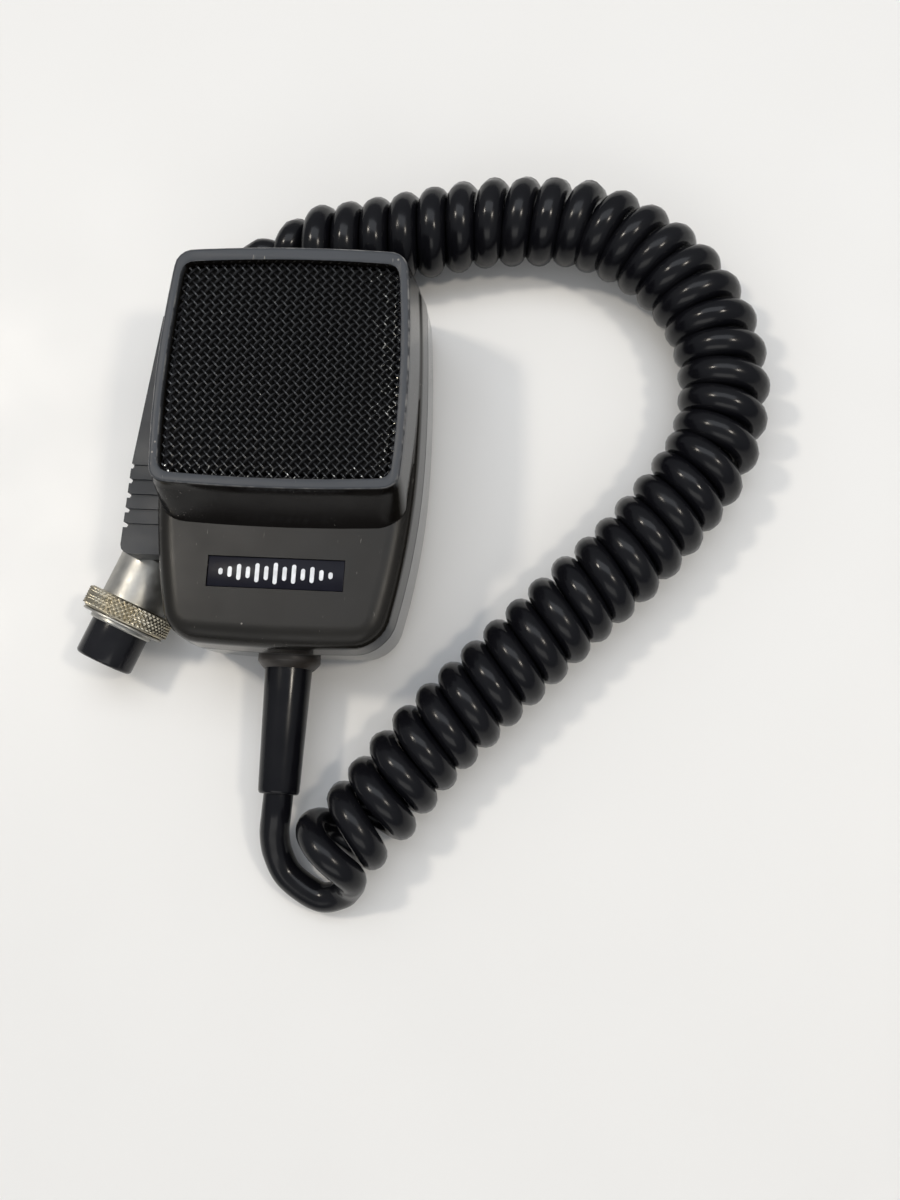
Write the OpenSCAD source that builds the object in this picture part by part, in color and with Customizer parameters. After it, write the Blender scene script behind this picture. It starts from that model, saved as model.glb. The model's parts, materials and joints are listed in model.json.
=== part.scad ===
// Hand microphone with a push-to-talk lever, a curly cord and a four-contact round plug.
// The microphone lies on its back.  The origin is the middle of the back face,
// +Y points to the grille end, +Z out of the grille.  All sizes are in millimetres.

/* [Case] */
// Length of the case
body_l = 80; // [79:0.5:81]
// Greatest width of the case
body_w = 54; // [53.5:0.5:55]
// Corner radius of the case outline
corner_r = 6; // [5.5:0.5:6.5]
// Height of the joint between the two shells
seam_z = 19; // [18.9:0.1:19.2]
// Height of the lower face
face_z = 28; // [27.8:0.1:28.4]
// Height of the grille's rim
head_z = 37; // [36.8:0.1:37.5]
// Thickness of the shell walls
wall = 2.2; // [2:0.1:2.4]

/* [Lever] */
// Height of the lever's underside
lever_z = 16.8; // [16.7:0.1:17]
// Thickness of the lever
lever_h = 6; // [5.8:0.1:6]
// Number of finger grooves
groove_count = 5; // [3:1:5]

/* [Cord] */
// Diameter of the cord
cord_d = 6.2; // [5.8:0.1:6.2]
// Outer diameter of the coiled stretch
coil_d = 19; // [18:0.5:19]
// Length of the strain relief outside the case
boot_l = 28; // [27.5:0.5:28]

/* [Plug] */
// Diameter of the knurled coupling ring
ring_d = 19; // [18:0.5:19]
// Diameter of the plug's metal barrel
barrel_d = 13.7; // [13.5:0.1:13.9]
// Angle between the plug and the case, in degrees
plug_turn = 22; // [20:1:23]

/* [Hidden] */
$fn = 64;
HULL_FN = 32;
eps = 0.01;
fit = 0.05;

// Case outline: the sides bow outwards and draw in at both ends
taper_top = 2.4;
taper_bottom = 5.4;
end_bulge = 0.8;
bow_y = 18;
min_r = 1;

// Rounding of the lower face's edge: steps down from the face, each with its inset
face_edge = [[3.5, 0.3], [1.4, 1.3], [0.4, 3], [0, 6]];
hollow_drop = 4;

// Rounding of the back's edge, outside and inside: heights, each with its inset
back_edge = [[0, 7], [1, 4.6], [3.4, 2], [7.5, 0.5]];
inside_edge = [[wall, 6.4], [8, wall + 0.8]];

// Head: the raised block that carries the grille
head_mid_y = 8;
head_w = 50.6;
head_bow = 2;
head_bow_l = 30;
head_bow_y = 24;
head_top_y = 38.2;
head_front_y = -9.8;
head_r = 3;
chin_l = 5.6;
chin_foot_r = 5;
chin_sink = 4;
chin_flare = 0.8;
rim_round = 0.6;
rim_w = 1.8;
ledge_z = 31.5;
ledge_w = 1.2;

// Grille stack, from the frame up
frame_t = 1.5;
foam_t = 1.9;
mesh_t = 1.2;
mesh_gap = 0.15;
mesh_edge = 0.8;
foam_margin = 1.4;

// Capsule and the posts of the strap that holds it
capsule = [0, 15];
capsule_r = 14;
capsule_h = 7;
capsule_lip = 2;
gasket_r = 16;
gasket_drop = 1.5;
post_x = 19;
post_r = 2.4;
strap_w = 10;
strap_t = 1.4;
strap_post_l = 6.1;
strap_screw_l = 6;

// Small screws: shank, clearance hole, head, and the spare depth of their holes
small_screw_r = 0.95;
board_screw_r = 0.85;
clearance_r = 1.2;
small_head_r = 1.9;
small_head_h = 1;
small_post_r = 2.2;
driver_slot_w = 0.4;
hole_spare = 0.6;

// Badge
badge = [27.6, 6.2];
badge_y = -25.2;
badge_recess = 0.8;
badge_t = 0.6;

// Lever pocket, hinge and switch
pocket_low_y = -23;
pocket_high_y = 32.2;
pocket_x = -21;
pocket_gap = 0.6;
pivot = [-22.5, 28.5];
hub_r = 2.8;
hinge_web = 0.4;
hinge_boss_l = 6;
hinge_root_z = 2;
groove_floor_x = -32.8;
first_groove_y = -3;
groove_pitch = 3.1;
groove_w = 1.4;
pin_r = 1.2;
pin_low_z = 9;
pin_l = 18;
plunger_y = 2;
plunger_r = 1.2;
plunger_tip_x = -25.2;
plunger_l = 9;
plunger_head_r = 2.7;
plunger_head_t = 0.8;
switch_low = [-19, -4, 16.9];
switch_size = [10, 20, 4.8];
switch_screw_x = -13;
switch_screw_y = [-1, 13];
switch_screw_l = 12;
terminal_y = [0, 6, 12];
terminal_z = 18.7;
terminal = [2.6, 2.4, 0.6];
lever_gap = 0.3;
spring_r = 2.2;
spring_wire = 0.5;
spring_turns = 4;

// Finger scoop under the lever, a wide upright cylinder cut from the rear shell
scoop_r = 40;
scoop_floor_x = -23.9;
scoop_y = -16;

// Case screws, each with the height of its head's seat: one in the slot, two at the cord end
screw_places = [[0, 34.2, 7], [-15.5, -31, 3], [15.5, -31, 3]];
screw_column_r = 4;
screw_r = 1.45;
screw_head_r = 2.8;
screw_head_h = 2;
screw_top_z = 24.5;
column_root_z = 1;
front_post_r = 3;
head_post_l = 12;
face_post_gap = 1.5;
seat_gap = 0.4;

// Hang-up button in its slot, which is open at the grille end
button_y = 20;
button_head_r = 6;
button_neck_r = 3.4;
button_head_t = 1.6;
button_sink = 0.2;
button_edge = 0.5;
button_screw_r = 1.25;
button_screw_l = 7;
button_screw_head_r = 2.5;
slot_r = 11;
slot_z = 4.8;
slot_wall = 2;

// Rating plate
plate = [26, 14];
plate_y = -12;
plate_t = 0.4;
plate_sink = 0.1;
plate_gap = 0.2;

// Cord exit
exit_z = 10;
bush_r = 6.5;
bush_t = 3;
bush_seat_y = -body_l / 2 + 1;
boot_r = 4.9;
boot_end_r = 4.2;
boot_neck_r = 4.4;
boot_flange_r = 5.6;
boot_flange_t = 1.2;
flange_gap = 0.2;
flange_room = 4;
flange_seat_y = -body_l / 2 + wall + 1;
cord_inner_y = -27;

// Clamp that holds the cord inside the case
clamp_screw_x = 7;
clamp_y = -29.5;
clamp_base_z = 9;
clamp_size = [18.8, 3, 5.2];
clamp_ear_t = 1.6;
clamp_middle_w = 9.2;

// Terminal board
board_low = [-7, -22, 8];
board_size = [23, 14, 1.6];
board_posts = [[-4, -15], [13, -15]];
board_screw_l = 5.5;
capacitor = [5, -13];
capacitor_r = 2.4;
capacitor_h = 6;
resistor = [0, -18];
resistor_r = 1;
resistor_l = 6;
chip = [8, -17.5];
chip_size = [3, 1.6, 3.5];

// Plug: stations along its axis, counted from the tip
plug_tip = [-40.4, -42.7, ring_d / 2];
insert_r = 6.2;
insert_root_r = 5.9;
insert_l = 16;
key_w = 1.6;
key_depth = 1;
key_l = 7;
barrel_start = 8;
barrel_end = 24.4;
barrel_bore_r = 4.7;
barrel_bore_l = 3.5;
clamp_end = 29.6;
clamp_r = 4.8;
clamp_split = 0.4;
clamp_gap = 0.3;
tiny_screw_x = 4;
tiny_screw_s = 2.6;
tiny_screw_r = 0.5;
tiny_screw_l = 3.6;
tiny_head_r = 0.9;
tiny_head_seat = 1.8;
washer_start = 8.9;
washer_t = 0.6;
washer_r = 8.9;
ring_start = 9.6;
ring_l = 4.4;
thread_r = 8;
thread_l = 2.8;
contact_place_r = 3.4;
contact_r = 1.5;
contact_bore_r = 0.9;
contact_bore_l = 7;
contact_sink = 0.6;
set_screw_s = 15;
set_screw_r = 1;
set_screw_depth = 4.8;

// Routes of the cord, chosen by hand
lead_route = [
    [0, -68, 10], [-0.3, -72, 9.2], [-0.8, -76, 7.2], [-0.2, -80.2, 5], [2.4, -84.6, 3.6],
    [8.6, -88.2, 3.2], [13.8, -87.4, 4.8], [16.3, -84.2, 8.6]
];
coil_route = [
    [10.7, -81.5, 9.6], [13.2, -77, 9.6], [19, -70.8, 9.6], [28.5, -58, 9.6], [39, -46.5, 9.6],
    [49, -36, 9.6], [59, -25.5, 9.6], [69.5, -15, 9.6], [79, -3, 9.6], [85.5, 8, 9.6],
    [87.5, 21, 9.6], [85, 33.5, 9.6], [78.5, 44, 9.6], [69, 52, 9.6], [58, 57, 9.6],
    [47, 58, 9.6], [36, 57.5, 9.6], [25, 55.5, 9.6], [10, 52.5, 9.6], [-4, 50.5, 9.6],
    [-14, 50, 9.6]
];
tail_route = [
    [-31.2, -20, 9.5], [-29.3, -15.3, 9.5], [-28.9, -11, 8.2], [-30, -5, 5.4],
    [-32.2, 4, 3.7], [-33, 14, 3.3], [-33, 26, 3.3], [-32, 36, 3.3], [-28, 43.6, 3.4],
    [-21.5, 47.6, 5], [-14, 50, 9.6]
];
lead_r = 0.55;
lead_routes = [
    [[-1.4, -26.6, 10], [-2.5, -24, 11.5], [-3, -20.5, 10]],
    [[0, -26.6, 11.2], [0.5, -24, 12.2], [1, -20.5, 10]],
    [[1.4, -26.6, 10], [3.5, -24, 11.5], [5, -20.5, 10]],
    [[-3, -9.5, 10], [-3, -6, 15], [-5.8, 0, 18.4]],
    [[0, -9.5, 10], [-1, -1, 15.5], [-5.8, 6, 18.4]],
    [[6, -9.5, 10], [7, 0, 18], [4, 7, 23.9]],
    [[9, -9.5, 10], [11, 0, 18], [8, 7, 23.9]]
];

// Half width of the case outline at a place along its length
function half_width(y) =
    body_w / 2 - (y > 0 ? taper_top : taper_bottom) * pow(2 * y / body_l, 2);

// Half width of the head at a place along its length
function head_half_width(y) = head_w / 2 - head_bow * pow((y - head_mid_y) / head_bow_l, 2);

// A point of a smooth curve through the points p, after point i by the share t of a step
function curve_point(p, i, t) =
    let (a = p[max(i - 1, 0)], b = p[i], c = p[i + 1], d = p[min(i + 2, len(p) - 1)])
    (2 * b + (c - a) * t + (2 * a - 5 * b + 4 * c - d) * t * t
        + (3 * b - 3 * c + d - a) * t * t * t) / 2;

// The curve as a list of points, a few to each step
function curve(p, steps) = concat(
    [for (i = [0:len(p) - 2], k = [0:steps - 1]) curve_point(p, i, k / steps)],
    [p[len(p) - 1]]
);

function unit(v) = v / norm(v);

// Direction of a path at one of its points
function heading(path, i) = unit(path[min(i + 1, len(path) - 1)] - path[max(i - 1, 0)]);

// Tube of radius r swept along a path; side is any direction the path never takes
module tube(path, r, sides = 12, side = [0, 0, 1]) {
    rings = len(path);
    points = [
        for (i = [0:rings - 1])
            let (u = unit(cross(side, heading(path, i))), v = cross(heading(path, i), u))
            for (k = [0:sides - 1])
                path[i] + r * (u * cos(360 * k / sides) + v * sin(360 * k / sides))
    ];
    skin = [
        for (i = [0:rings - 2], k = [0:sides - 1])
            let (next = (k + 1) % sides)
            [i * sides + k, (i + 1) * sides + k, (i + 1) * sides + next, i * sides + next]
    ];
    first_cap = [for (k = [0:sides - 1]) k];
    last_cap = [for (k = [sides - 1:-1:0]) (rings - 1) * sides + k];
    polyhedron(points, concat([first_cap], skin, [last_cap]), convexity = 8);
}

// Discs on the case outline, drawn in by inset; their hull is one level of the case
module case_level(z, inset) {
    r = max(corner_r - inset, min_r);
    centre_in = inset + r;
    end_y = body_l / 2 - end_bulge;
    for (y = [-end_y + centre_in, -bow_y, 0, bow_y, end_y - centre_in], side = [-1, 1])
        translate([side * (half_width(y) - centre_in), y, z])
            cylinder(r = r, h = eps, $fn = HULL_FN);
    for (side = [-1, 1])
        translate([0, side * (body_l / 2 - centre_in), z])
            cylinder(r = r, h = eps, $fn = HULL_FN);
}

// Discs on the head outline, drawn in by inset, with its cord end at front_y
module head_level(z, inset, front_y, r = head_r) {
    centre_in = inset + r;
    for (y = [front_y + r, head_mid_y, head_bow_y, head_top_y - centre_in], side = [-1, 1])
        translate([side * (head_half_width(y) - centre_in), y, z])
            cylinder(r = r, h = eps, $fn = HULL_FN);
    translate([0, head_top_y + end_bulge - centre_in, z])
        cylinder(r = r, h = eps, $fn = HULL_FN);
}

// A straight prism with the outline of the grille opening, drawn in by inset
module grille_prism(z, h, inset) {
    opening = rim_w + inset;
    steps = 8;
    low_y = head_front_y + opening;
    high_y = head_top_y - opening;
    right = [
        for (k = [0:steps])
            let (y = low_y + (high_y - low_y) * k / steps)
            [head_half_width(y) - opening, y]
    ];
    left = [for (k = [steps:-1:0]) [-right[k].x, right[k].y]];
    translate([0, 0, z])
        linear_extrude(h)
            polygon(concat(right, [[0, high_y + end_bulge]], left));
}

// ---- case ----

module front_shell_outside() {
    foot_z = face_z - chin_sink;
    top_z = head_z - rim_round;
    chin_slope = (chin_l - rim_round) / (top_z - face_z);
    foot_y = head_front_y - rim_round - chin_slope * (top_z - foot_z);
    hull() {
        case_level(seam_z, 0);
        for (step = face_edge)
            case_level(face_z - step[0], step[1]);
    }
    hull() {
        head_level(foot_z, -chin_flare, foot_y, chin_foot_r);
        head_level(top_z, 0, head_front_y - rim_round);
        head_level(head_z - eps, rim_round, head_front_y);
    }
}

module lever_pocket() {
    translate([-body_w, pocket_low_y, lever_z - pocket_gap])
        cube([body_w + pocket_x, pocket_high_y - pocket_low_y, lever_h + 2 * pocket_gap]);
}

module front_case() {
    pocket_top = lever_z + lever_h + pocket_gap;
    color("dimgray")
    difference() {
        union() {
            difference() {
                front_shell_outside();
                hull() {
                    case_level(seam_z - 1, wall);
                    case_level(face_z - hollow_drop, wall + face_edge[0][1]);
                    case_level(face_z - wall, wall + hollow_drop);
                }
                grille_prism(seam_z, head_z, ledge_w);
            }
            for (p = screw_places)
                translate([p.x, p.y, seam_z])
                    cylinder(r = front_post_r, h = p.y > 0 ? head_post_l : face_z - seam_z - face_post_gap);
            translate([pivot.x, pivot.y, pocket_top - hinge_web])
                cylinder(r = hub_r, h = hinge_boss_l);
        }
        grille_prism(ledge_z, head_z, 0);
        lever_pocket_front();
        for (p = screw_places)
            translate([p.x, p.y, seam_z - 1])
                cylinder(r = screw_r + fit, h = screw_top_z + hole_spare - seam_z + 1);
        translate([pivot.x, pivot.y, seam_z])
            cylinder(r = pin_r, h = pin_low_z + pin_l - seam_z);
        translate([-badge.x / 2, badge_y - badge.y / 2, face_z - badge_recess])
            cube([badge.x, badge.y, 2 * badge_recess]);
    }
}

// The pocket's share above the joint, up to the web under the hinge boss
module lever_pocket_front() {
    intersection() {
        lever_pocket();
        translate([-body_w, -body_l, seam_z - 1])
            cube([2 * body_w, 2 * body_l, lever_z + lever_h + pocket_gap - hinge_web - seam_z + 1]);
    }
}

// Slot of the hang-up button, widened by grow
module hanger_slot(grow, h) {
    translate([0, button_y, -eps])
        cylinder(r = slot_r + grow, h = h + eps);
    translate([-slot_r - grow, button_y, -eps])
        cube([2 * (slot_r + grow), body_l / 2, h + eps]);
}

module scoop(grow, h) {
    translate([scoop_floor_x - scoop_r, scoop_y, -eps])
        cylinder(r = scoop_r + grow, h = h, $fn = 180);
}

// An upright cylinder at a place, between two heights
module column(place, r, low_z, high_z) {
    translate([place.x, place.y, low_z])
        cylinder(r = r, h = high_z - low_z);
}

module rear_case() {
    pocket_floor = lever_z - pocket_gap;
    switch_tip_z = switch_low.z + switch_size.z - switch_screw_l - hole_spare;
    board_tip_z = board_low.z + board_size.z - board_screw_l - hole_spare;
    color("dimgray")
    difference() {
        union() {
            difference() {
                hull() {
                    for (step = back_edge)
                        case_level(step[0], step[1]);
                    case_level(seam_z - eps, 0);
                }
                difference() {
                    hull() {
                        for (step = inside_edge)
                            case_level(step[0], step[1]);
                        case_level(seam_z, wall);
                    }
                    hanger_slot(slot_wall, slot_z + slot_wall);
                    scoop(slot_wall, pocket_floor);
                }
            }
            for (p = screw_places)
                column(p, screw_column_r, column_root_z, seam_z);
            column(pivot, hub_r, hinge_root_z, lever_z - lever_gap);
            for (y = switch_screw_y)
                column([switch_screw_x, y], small_post_r, column_root_z, switch_low.z);
            for (p = board_posts)
                column(p, small_post_r, column_root_z, board_low.z);
            for (side = [-1, 1])
                column([clamp_screw_x * side, clamp_y], small_post_r, column_root_z, clamp_base_z);
        }
        lever_pocket_rear();
        hanger_slot(0, slot_z);
        scoop(0, pocket_floor + 2 * eps);
        for (p = screw_places) {
            column(p, screw_head_r + seat_gap, -eps, p.z);
            column(p, screw_r + fit, -eps, seam_z + 1);
        }
        column(pivot, pin_r, pin_low_z, pin_low_z + pin_l);
        for (y = switch_screw_y)
            column([switch_screw_x, y], small_screw_r + fit, switch_tip_z, seam_z);
        for (p = board_posts)
            column(p, board_screw_r + fit, board_tip_z, seam_z);
        for (side = [-1, 1])
            column([clamp_screw_x * side, clamp_y], board_screw_r + fit, board_tip_z, seam_z);
        column([0, button_y], button_screw_r + fit, -eps, button_screw_l + button_head_t + 1);
        translate([-plate.x / 2, plate_y - plate.y / 2, -eps])
            cube([plate.x, plate.y, plate_t + plate_sink + eps]);
        translate([0, 0, exit_z])
            rotate([90, 0, 0])
                cylinder(r = boot_neck_r + fit, h = body_l);
        translate([0, bush_seat_y, exit_z])
            rotate([90, 0, 0])
                cylinder(r = bush_r + fit, h = body_l);
        translate([0, flange_seat_y, exit_z])
            rotate([-90, 0, 0])
                cylinder(r = boot_flange_r + flange_gap, h = flange_room);
    }
}

// The pocket's share in the rear shell, around the hinge column
module lever_pocket_rear() {
    difference() {
        lever_pocket();
        column(pivot, hub_r, 0, lever_z - lever_gap);
    }
}

module badge_plate() {
    color("black")
        translate([-badge.x / 2 + fit, badge_y - badge.y / 2 + fit, face_z - badge_recess])
            cube([badge.x - 2 * fit, badge.y - 2 * fit, badge_t]);
}

// ---- grille and capsule ----

module grille_mesh() {
    edge_z = ledge_z + frame_t;
    color("black")
    difference() {
        grille_prism(edge_z, foam_t + mesh_t, mesh_gap);
        grille_prism(edge_z - 1, foam_t + 1, mesh_gap + mesh_edge);
    }
}

module grille_foam() {
    color("darkslategray")
        grille_prism(ledge_z + frame_t, foam_t, foam_margin);
}

module grille_frame() {
    color("black")
    difference() {
        union() {
            grille_prism(ledge_z, frame_t, mesh_gap);
            for (side = [-1, 1])
                translate([side * post_x, capsule.y, ledge_z - strap_post_l])
                    cylinder(r = post_r, h = strap_post_l + eps);
        }
        translate([capsule.x, capsule.y, ledge_z - 1])
            cylinder(r = capsule_r - capsule_lip, h = frame_t + 2);
        for (side = [-1, 1])
            translate([side * post_x, capsule.y, ledge_z - strap_post_l - 1])
                cylinder(r = small_screw_r + fit, h = strap_post_l);
    }
}

module mic_capsule() {
    color("silver")
        translate([capsule.x, capsule.y, ledge_z - capsule_h])
            cylinder(r = capsule_r, h = capsule_h);
}

module capsule_gasket() {
    color("black")
        translate([capsule.x, capsule.y, ledge_z - capsule_h + gasket_drop])
            difference() {
                cylinder(r = gasket_r, h = capsule_h - gasket_drop);
                translate([0, 0, -1])
                    cylinder(r = capsule_r + fit, h = capsule_h + 2);
            }
}

module capsule_strap() {
    boss_h = capsule_h - strap_post_l;
    low_z = ledge_z - capsule_h - strap_t;
    color("silver")
    difference() {
        union() {
            translate([-post_x, capsule.y - strap_w / 2, low_z])
                cube([2 * post_x, strap_w, strap_t]);
            for (side = [-1, 1])
                column([side * post_x, capsule.y], post_r, low_z, low_z + strap_t + boss_h);
        }
        for (side = [-1, 1])
            column([side * post_x, capsule.y], clearance_r, low_z - 1, ledge_z);
    }
}

// A pan head screw with its head's underside at the origin and its shank along -Z
module pan_screw(shank_r, shank_l, head_r, head_h) {
    difference() {
        union() {
            cylinder(r = head_r, h = head_h);
            translate([0, 0, -shank_l])
                cylinder(r = shank_r, h = shank_l + eps);
        }
        for (turn = [0, 90])
            rotate(turn)
                translate([-head_r * 0.6, -driver_slot_w / 2, head_h / 2])
                    cube([head_r * 1.2, driver_slot_w, head_h]);
    }
}

module strap_screws() {
    color("silver")
        for (side = [-1, 1])
            translate([side * post_x, capsule.y, ledge_z - capsule_h - strap_t])
                mirror([0, 0, 1])
                    pan_screw(small_screw_r, strap_screw_l, small_head_r, small_head_h);
}

// ---- lever and switch ----

// Outline of the lever: a wedge that widens to the finger pad at its free end
module lever_outline() {
    polygon([
        [pivot.x, pivot.y + hub_r], [-27.5, pivot.y + 2.8], [-30, pivot.y + 1],
        [-33.6, -3], [-34.2, -17.5], [-34.1, -19.6], [-33.5, -20.8], [-32.3, -21.4],
        [-21.9, -21.4], [-21.9, -25.6], [-21.2, -25.6], [-20.4, -24.8], [-20.4, -19],
        [-24.9, -19], [-24.9, -4], [plunger_tip_x - lever_gap, -2],
        [plunger_tip_x - lever_gap, 15], [pivot.x, pivot.y - hub_r]
    ]);
}

module ptt_lever() {
    color("dimgray")
    difference() {
        union() {
            translate([0, 0, lever_z])
                linear_extrude(lever_h)
                    lever_outline();
            translate([pivot.x, pivot.y, lever_z])
                cylinder(r = hub_r, h = lever_h);
        }
        translate([pivot.x, pivot.y, lever_z - 1])
            cylinder(r = pin_r + fit, h = lever_h + 2);
        for (k = [0:groove_count - 1])
            translate([groove_floor_x - 4, first_groove_y - groove_pitch * k - groove_w / 2, lever_z - 1])
                cube([4, groove_w, lever_h + 2]);
    }
}

module lever_pin() {
    color("silver")
        translate([pivot.x, pivot.y, pin_low_z])
            cylinder(r = pin_r, h = pin_l);
}

module switch_body() {
    axis_z = switch_low.z + switch_size.z / 2;
    color("ivory")
    difference() {
        translate(switch_low)
            cube(switch_size);
        translate([switch_low.x - 1, plunger_y, axis_z])
            rotate([0, 90, 0])
                cylinder(r = plunger_r + fit, h = plunger_l - 2);
        for (y = switch_screw_y)
            translate([switch_screw_x, y, switch_low.z - 1])
                cylinder(r = clearance_r, h = switch_size.z + 2);
    }
}

module switch_plunger() {
    axis_z = switch_low.z + switch_size.z / 2;
    color("firebrick")
        translate([plunger_tip_x, plunger_y, axis_z])
            rotate([0, 90, 0]) {
                cylinder(r = plunger_r, h = plunger_l);
                cylinder(r = plunger_head_r, h = plunger_head_t);
            }
}

// Spring between the switch and the head of its plunger
module plunger_spring() {
    axis_z = switch_low.z + switch_size.z / 2;
    steps = 20;
    low_x = plunger_tip_x + plunger_head_t + spring_wire / 2 + fit;
    high_x = switch_low.x - spring_wire / 2 - fit;
    path = [
        for (k = [0:spring_turns * steps])
            let (turn = 360 * k / steps)
            [low_x + (high_x - low_x) * k / (spring_turns * steps),
                plunger_y + spring_r * cos(turn), axis_z + spring_r * sin(turn)]
    ];
    color("silver")
        tube(path, spring_wire / 2, 6, [1, 0, 0]);
}

module switch_terminals() {
    color("gold")
        for (y = terminal_y)
            translate([switch_low.x + switch_size.x, y - terminal.y / 2, terminal_z])
                cube(terminal);
}

module switch_screws() {
    color("silver")
        for (y = switch_screw_y)
            translate([switch_screw_x, y, switch_low.z + switch_size.z])
                pan_screw(small_screw_r, switch_screw_l, small_head_r, small_head_h);
}

// ---- board and wiring ----

module terminal_board() {
    color("darkgoldenrod")
    difference() {
        translate(board_low)
            cube(board_size);
        for (p = board_posts)
            column(p, clearance_r, board_low.z - 1, board_low.z + board_size.z + 1);
    }
}

module board_screws() {
    color("silver")
        for (p = board_posts)
            translate([p.x, p.y, board_low.z + board_size.z])
                pan_screw(board_screw_r, board_screw_l, small_head_r, small_head_h);
}

module board_parts() {
    top = board_low.z + board_size.z;
    color("royalblue")
        column(capacitor, capacitor_r, top, top + capacitor_h);
    color("tan")
        translate([resistor.x, resistor.y, top + resistor_r])
            rotate([0, 90, 0])
                cylinder(r = resistor_r, h = resistor_l);
    color("peru")
        translate([chip.x, chip.y, top])
            cube(chip_size);
}

module inner_leads() {
    colours = ["red", "white", "green", "yellow", "white", "red", "black"];
    for (k = [0:len(lead_routes) - 1])
        color(colours[k])
            tube(curve(lead_routes[k], 4), lead_r, 6, [1, 0, 0]);
}

module cord_clamp() {
    color("silver")
    difference() {
        translate([-clamp_size.x / 2, clamp_y - clamp_size.y / 2, clamp_base_z])
            cube(clamp_size);
        translate([0, clamp_y + clamp_size.y, exit_z])
            rotate([90, 0, 0])
                cylinder(r = cord_d / 2 + fit, h = 2 * clamp_size.y);
        for (side = [0, 1])
            mirror([side, 0, 0]) {
                column([clamp_screw_x, clamp_y], clearance_r, clamp_base_z - 1, exit_z + clamp_size.z);
                translate([clamp_middle_w / 2, clamp_y - clamp_size.y, clamp_base_z + clamp_ear_t])
                    cube([clamp_size.x, 2 * clamp_size.y, clamp_size.z]);
            }
    }
}

module clamp_screws() {
    screw_l = board_screw_l + clamp_base_z - board_low.z;
    color("silver")
        for (side = [-1, 1])
            translate([clamp_screw_x * side, clamp_y, clamp_base_z + clamp_ear_t])
                pan_screw(board_screw_r, screw_l, small_head_r, small_head_h);
}

// ---- fasteners and pieces of the back ----

module case_screws() {
    color("silver")
        for (p = screw_places)
            translate(p)
                mirror([0, 0, 1])
                    pan_screw(screw_r, screw_top_z - p.z, screw_head_r, screw_head_h);
}

module hang_button() {
    color("silver")
        translate([0, button_y, 0])
            difference() {
                rotate_extrude()
                    polygon([
                        [0, button_sink], [button_head_r - button_edge, button_sink],
                        [button_head_r, button_sink + button_edge],
                        [button_head_r, button_head_t], [button_neck_r, button_head_t],
                        [button_neck_r, slot_z], [0, slot_z]
                    ]);
                cylinder(r = button_screw_r + 2 * fit, h = slot_z + 1);
                cylinder(r = button_screw_head_r + 2 * fit, h = button_head_t);
            }
}

module button_screw() {
    color("silver")
        translate([0, button_y, button_head_t])
            mirror([0, 0, 1])
                pan_screw(button_screw_r, button_screw_l, button_screw_head_r, small_head_h);
}

module rating_plate() {
    color("gainsboro")
        translate([-plate.x / 2 + plate_gap, plate_y - plate.y / 2 + plate_gap, plate_sink])
            cube([plate.x - 2 * plate_gap, plate.y - 2 * plate_gap, plate_t]);
}

// ---- cord and strain relief ----

module cord_bush() {
    color("dimgray")
        translate([0, bush_seat_y, exit_z])
            rotate([90, 0, 0])
                difference() {
                    cylinder(r = bush_r, h = bush_t);
                    translate([0, 0, -1])
                        cylinder(r = boot_neck_r + fit, h = bush_t + 2);
                }
}

module cord_boot() {
    start_y = bush_seat_y - bush_t;
    neck_l = flange_seat_y + boot_flange_t - start_y;
    tip_y = -body_l / 2 - boot_l;
    color("black")
        translate([0, 0, exit_z])
            rotate([90, 0, 0])
                difference() {
                    union() {
                        translate([0, 0, -start_y])
                            cylinder(r1 = boot_r, r2 = boot_end_r, h = start_y - tip_y);
                        translate([0, 0, -start_y - neck_l])
                            cylinder(r = boot_neck_r, h = neck_l + eps);
                        translate([0, 0, -start_y - neck_l])
                            cylinder(r = boot_flange_r, h = boot_flange_t);
                    }
                    cylinder(r = cord_d / 2 + fit, h = body_l);
                }
}

module cord_entry() {
    color("black")
        translate([0, cord_inner_y, exit_z])
            rotate([90, 0, 0])
                cylinder(r = cord_d / 2, h = cord_inner_y + body_l / 2 + boot_l);
}

module cord_lead() {
    color("black")
        tube(curve(lead_route, 3), cord_d / 2, 12);
}

// The coiled stretch, as one tube of its outer diameter
module cord_coil() {
    color("black")
        tube(curve(coil_route, 3), coil_d / 2, 12);
}

module cord_tail() {
    color("black")
        tube(curve(tail_route, 2), cord_d / 2, 12);
}

// ---- plug ----

// Places its children at a station along the plug's axis, with +Z pointing to the cord
module at_plug(station) {
    direction = [sin(plug_turn), cos(plug_turn), 0];
    translate(plug_tip + station * direction)
        rotate([-90, 0, -plug_turn])
            children();
}

module plug_insert() {
    color("black")
        at_plug(0)
            difference() {
                union() {
                    cylinder(r = insert_r, h = barrel_start);
                    cylinder(r = insert_root_r, h = insert_l);
                }
                for (k = [0:3])
                    rotate(45 + 90 * k)
                        translate([contact_place_r, 0, -1])
                            cylinder(r = contact_r + fit, h = insert_l);
                translate([-key_w / 2, insert_r - key_depth, -1])
                    cube([key_w, 2 * key_depth, key_l + 1]);
                translate([0, 0, set_screw_s])
                    rotate([90, 0, 0])
                        cylinder(r = set_screw_r + fit, h = insert_r + 1);
            }
}

module plug_contacts() {
    color("gold")
        at_plug(contact_sink)
            for (k = [0:3])
                rotate(45 + 90 * k)
                    translate([contact_place_r, 0, 0])
                        difference() {
                            cylinder(r = contact_r, h = insert_l - 3 * contact_sink);
                            translate([0, 0, -1])
                                cylinder(r = contact_bore_r, h = contact_bore_l + 1);
                        }
}

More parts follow.
